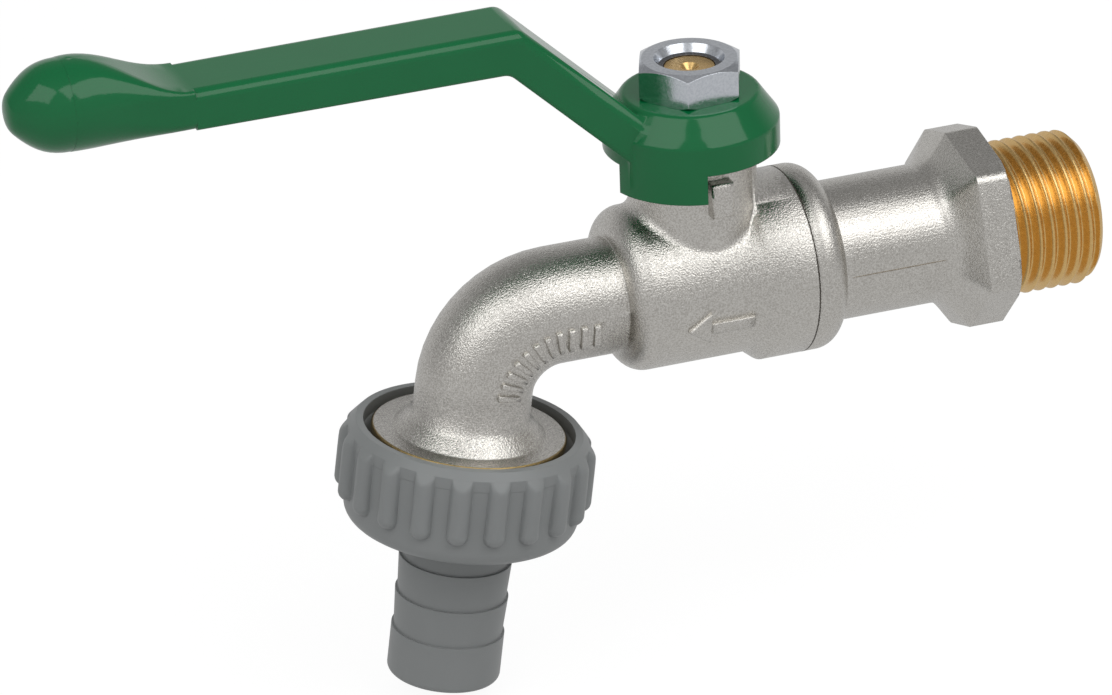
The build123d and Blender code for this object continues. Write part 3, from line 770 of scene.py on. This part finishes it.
# The lever: die-cast metal in one piece with its hub and stop skirt, sprayed gloss green.
# It sits on the flats of the stem and the nut clamps it down.
paint_green = (0.003, 0.166, 0.051, 1.0)
paint_deep = (0.002, 0.142, 0.042, 1.0)
paint_roughness = 0.12
paint_specular = 0.29
paint_coat = 0.2
paint_coat_roughness = 0.05
paint_cloud_scale = 90.0
peel_scale = 900.0
peel_detail = 1.0
peel_strength = 0.25
peel_depth = 0.01 * mm
paint_edge = 0.3 * mm


def gloss_paint(name, colour, deep):
    """Thick gloss paint with a faint orange-peel surface."""
    material = bpy.data.materials.new(name)
    material.use_nodes = True
    tree = material.node_tree
    shader = tree.nodes["Principled BSDF"]
    shader.inputs["Roughness"].default_value = paint_roughness
    shader.inputs["Specular IOR Level"].default_value = paint_specular
    shader.inputs["Coat Weight"].default_value = paint_coat
    shader.inputs["Coat Roughness"].default_value = paint_coat_roughness
    place = tree.nodes.new("ShaderNodeTexCoord")
    cloud = tree.nodes.new("ShaderNodeTexNoise")
    cloud.inputs["Scale"].default_value = paint_cloud_scale
    peel = tree.nodes.new("ShaderNodeTexNoise")
    peel.inputs["Scale"].default_value = peel_scale
    peel.inputs["Detail"].default_value = peel_detail
    tone = tree.nodes.new("ShaderNodeMix")
    tone.data_type = "RGBA"
    tone.inputs[mix_first_colour].default_value = deep
    tone.inputs[mix_second_colour].default_value = colour
    rounding = tree.nodes.new("ShaderNodeBevel")
    rounding.samples = bevel_samples
    rounding.inputs["Radius"].default_value = paint_edge
    bump = tree.nodes.new("ShaderNodeBump")
    bump.inputs["Strength"].default_value = peel_strength
    bump.inputs["Distance"].default_value = peel_depth
    tree.links.new(place.outputs["Object"], cloud.inputs["Vector"])
    tree.links.new(place.outputs["Object"], peel.inputs["Vector"])
    tree.links.new(cloud.outputs["Fac"], tone.inputs[mix_share])
    tree.links.new(tone.outputs[mix_colour_out], shader.inputs["Base Color"])
    tree.links.new(peel.outputs["Fac"], bump.inputs["Height"])
    tree.links.new(rounding.outputs["Normal"], bump.inputs["Normal"])
    tree.links.new(bump.outputs["Normal"], shader.inputs["Normal"])
    return material


green_paint = gloss_paint("green_paint", paint_green, paint_deep)
finish_node("lever_handle", green_paint)


# The stem and gland: turned bare brass. Only the stem's drilled end shows, down inside the nut.
# The gland is screwed into the tower under the hub and presses the packing round the stem.
for name in ("stem", "gland_nut"):
    finish_node(name, bare_brass)


# The lever nut: cold-formed steel, bright zinc plated, with a wide countersink on top.
# It clamps the lever against the shoulder of the stem's flats.
zinc_bright = (0.74, 0.77, 0.82, 1.0)
zinc_dull = (0.62, 0.65, 0.70, 1.0)
zinc = grained_metal("bright_zinc", zinc_bright, zinc_dull, grain_size=0.35 * mm,
                     smooth=0.15, rough=0.25, depth=0.008 * mm, edge=0.12 * mm)
lever_nut = finish_node("handle_nut", zinc)
crisp_over = math.radians(18)
crisp = lever_nut.modifiers.new("crisp_edges", "EDGE_SPLIT")
crisp.split_angle = crisp_over
nut_bore = 4.05 * mm
thread_tip = 3.42 * mm
stem_top = 30.1 * mm
nut_thread_section = [(nut_bore, stem_top - 0.50 * mm), (thread_tip, stem_top + 0.02 * mm),
                      (thread_tip, stem_top + 0.12 * mm), (nut_bore, stem_top + 0.22 * mm)]
nut_rings = [[(stem_x + radius * math.cos(2 * math.pi * i / thread_columns),
               radius * math.sin(2 * math.pi * i / thread_columns), height)
              for i in range(thread_columns)] for radius, height in nut_thread_section]
shadow_bright = (0.30, 0.30, 0.31, 1.0)
shadow_dull = (0.16, 0.16, 0.16, 1.0)
shadowed_steel = grained_metal("shadowed_steel", shadow_bright, shadow_dull, grain_size=0.3 * mm,
                               smooth=0.3, rough=0.5, depth=0.01 * mm, edge=0.05 * mm)
nut_thread = ring_solid("nut_thread", nut_rings, shadowed_steel, sharp_over=40)
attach(nut_thread, "lever")


# The union nut and hose tail: grey moulded plastic, with a light sheen and a fine mould texture.
# The nut's inner lip holds the tail's flange against the rubber gasket on the spout.
grey_light = (0.290, 0.302, 0.303, 1.0)
grey_shade = (0.256, 0.267, 0.268, 1.0)
plastic_specular = 0.45
plastic_smooth = 0.32
plastic_rough = 0.46
plastic_cloud_scale = 120.0
plastic_cloud_detail = 4.0
skin_scale = 2600.0
skin_detail = 2.0
skin_strength = 0.4
skin_depth = 0.01 * mm
plastic_edge = 0.16 * mm


def moulded_plastic(name, colour, shade):
    """Injection-moulded plastic, very slightly mottled."""
    material = bpy.data.materials.new(name)
    material.use_nodes = True
    tree = material.node_tree
    shader = tree.nodes["Principled BSDF"]
    shader.inputs["Specular IOR Level"].default_value = plastic_specular
    place = tree.nodes.new("ShaderNodeTexCoord")
    cloud = tree.nodes.new("ShaderNodeTexNoise")
    cloud.inputs["Scale"].default_value = plastic_cloud_scale
    cloud.inputs["Detail"].default_value = plastic_cloud_detail
    skin = tree.nodes.new("ShaderNodeTexNoise")
    skin.inputs["Scale"].default_value = skin_scale
    skin.inputs["Detail"].default_value = skin_detail
    tone = tree.nodes.new("ShaderNodeMix")
    tone.data_type = "RGBA"
    tone.inputs[mix_first_colour].default_value = shade
    tone.inputs[mix_second_colour].default_value = colour
    gloss = tree.nodes.new("ShaderNodeMapRange")
    gloss.inputs["To Min"].default_value = plastic_smooth
    gloss.inputs["To Max"].default_value = plastic_rough
    rounding = tree.nodes.new("ShaderNodeBevel")
    rounding.samples = bevel_samples
    rounding.inputs["Radius"].default_value = plastic_edge
    bump = tree.nodes.new("ShaderNodeBump")
    bump.inputs["Strength"].default_value = skin_strength
    bump.inputs["Distance"].default_value = skin_depth
    tree.links.new(place.outputs["Object"], cloud.inputs["Vector"])
    tree.links.new(place.outputs["Object"], skin.inputs["Vector"])
    tree.links.new(cloud.outputs["Fac"], tone.inputs[mix_share])
    tree.links.new(cloud.outputs["Fac"], gloss.inputs["Value"])
    tree.links.new(tone.outputs[mix_colour_out], shader.inputs["Base Color"])
    tree.links.new(gloss.outputs[0], shader.inputs["Roughness"])
    tree.links.new(skin.outputs["Fac"], bump.inputs["Height"])
    tree.links.new(rounding.outputs["Normal"], bump.inputs["Normal"])
    tree.links.new(bump.outputs["Normal"], shader.inputs["Normal"])
    return material


grey_plastic = moulded_plastic("grey_plastic", grey_light, grey_shade)
finish_node("hose_tail", grey_plastic)

rim_top = -0.4 * mm
rim_radius = 14.1 * mm
rim_depth = 1.9 * mm
rim_outside = 15.1 * mm
rib_reach = 17.1 * mm
rib_round = 1.45 * mm
rib_nose_length = 2.3 * mm
rib_foot = 10.0 * mm
rib_count = 20
rib_turn = math.radians(4.8)
rib_blend = 0.30 * mm
wall_shoulder = 16.0 * mm
wall_foot = 15.65 * mm
parting_step = 0.07 * mm
parting_below_nose = 0.3 * mm
nut_bottom = 13.4 * mm
nut_bottom_round = 2.2 * mm
nut_bore_radius = 12.63 * mm
nut_lip_top = 11.82 * mm
nut_lip_radius = 7.88 * mm
rib_leans = (1.1, 2.2, 3.2, 4.0, 4.6, 5.0, 5.3, 5.7, 6.4, 7.6)
rib_columns = [-9.0] + [-lean for lean in reversed(rib_leans)] + [0.0] + list(rib_leans)
nut_side = Vector((0, 1, 0))
nut_ahead = flow.cross(nut_side)


def nut_wall(s):
    """Radius of the nut's wall between its ribs at a distance below the disc."""
    shoulder = rim_top + rib_nose_length * (wall_shoulder - rim_outside) / (rib_reach - rim_outside)
    if s < shoulder:
        return rim_outside + (wall_shoulder - rim_outside) * (s - rim_top) / (shoulder - rim_top)
    wall = wall_shoulder + (wall_foot - wall_shoulder) * (s - shoulder) / (nut_bottom - shoulder)
    if s > rim_top + rib_nose_length + parting_below_nose:
        wall -= parting_step
    under = s - (nut_bottom - nut_bottom_round)
    if under > 0:
        wall -= nut_bottom_round - math.sqrt(max(0.0, nut_bottom_round ** 2 - under ** 2))
    return wall


def nut_outside(s, lean):
    """Radius of the ribbed grip: round ribs with a sloping nose and a round foot."""
    wall = nut_wall(s)
    middle = rib_reach - rib_round
    past = max(0.0, s - (rib_foot - rib_round))
    room = rib_round ** 2 - (middle * math.sin(lean)) ** 2 - past ** 2
    if room <= 0:
        return wall
    rib = middle * math.cos(lean) + math.sqrt(room)
    nose = rim_outside + (s - rim_top) * (rib_reach - rim_outside) / rib_nose_length
    rib = (rib + nose - math.sqrt((rib - nose) ** 2 + rib_blend ** 2)) / 2
    return max(wall, min(rib, rib_reach))


def nut_ring(s, radius_at):
    """One ring of the nut at a distance below the disc."""
    ring = []
    for rib in range(rib_count):
        for column in rib_columns:
            lean = math.radians(column)
            angle = rib_turn + 2 * math.pi * rib / rib_count + lean
            radius = radius_at(s, lean)
            ring.append(disc_centre + flow * s + (
                nut_side * math.cos(angle) + nut_ahead * math.sin(angle)) * radius)
    return ring


nose_step = 0.115 * mm
nose_steps = 24
rib_levels = [2.26 * mm, 3.0 * mm, 4.5 * mm, 6.0 * mm, 7.3 * mm]
foot_top = 8.1 * mm
foot_step = 0.12 * mm
foot_steps = 17
levels_below_ribs = [10.4 * mm, 10.9 * mm]
round_steps = 10
nut_levels = [rim_top + nose_step * step for step in range(nose_steps)]
nut_levels += rib_levels
nut_levels += [foot_top + foot_step * step for step in range(foot_steps)]
nut_levels += levels_below_ribs
nut_levels += [nut_bottom - nut_bottom_round * (1 - math.sin(math.pi / 2 * step / round_steps))
               for step in range(round_steps + 1)]
nut_grip = [nut_ring(s, nut_outside) for s in nut_levels]
nut_hollow = ((nut_bottom, nut_lip_radius), (nut_lip_top, nut_lip_radius),
              (nut_lip_top, nut_bore_radius),
              (rim_top + rim_depth + rim_radius - nut_bore_radius, nut_bore_radius),
              (rim_top + rim_depth, rim_radius), (rim_top, rim_radius))
for s, radius in nut_hollow:
    nut_grip.append(nut_ring(s, lambda s, lean, radius=radius: radius))
ribbed_nut = ring_solid("ribbed_nut", nut_grip, grey_plastic, sharp_over=30)
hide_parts("union_nut")
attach(ribbed_nut, "ring_nut")


# The sealed inner pieces: chromed ball, white seats and washers, and black rubber seals.
# They show only when the tap is taken apart, or down the bores.
seat_plastic = moulded_plastic("seat_plastic", colour=(0.80, 0.80, 0.77, 1.0),
                               shade=(0.72, 0.72, 0.69, 1.0))
seal_rubber = moulded_plastic("seal_rubber", colour=(0.020, 0.020, 0.021, 1.0),
                              shade=(0.013, 0.013, 0.014, 1.0))
chromed = grained_metal("chromed_ball", bright=(0.80, 0.80, 0.81, 1.0), dull=(0.72, 0.72, 0.73, 1.0),
                        grain_size=0.5 * mm, smooth=0.05, rough=0.10, depth=0.001 * mm,
                        edge=0.2 * mm)
finish_node("ball", chromed)
for name in ("seat_ring_inlet", "seat_ring_outlet", "thrust_washer", "packing_ring_lower",
             "packing_ring_upper"):
    finish_node(name, seat_plastic)
for name in ("seat_cushion_inlet", "seat_cushion_outlet", "connector_seal", "stem_o_ring",
             "hose_gasket"):
    finish_node(name, seal_rubber)
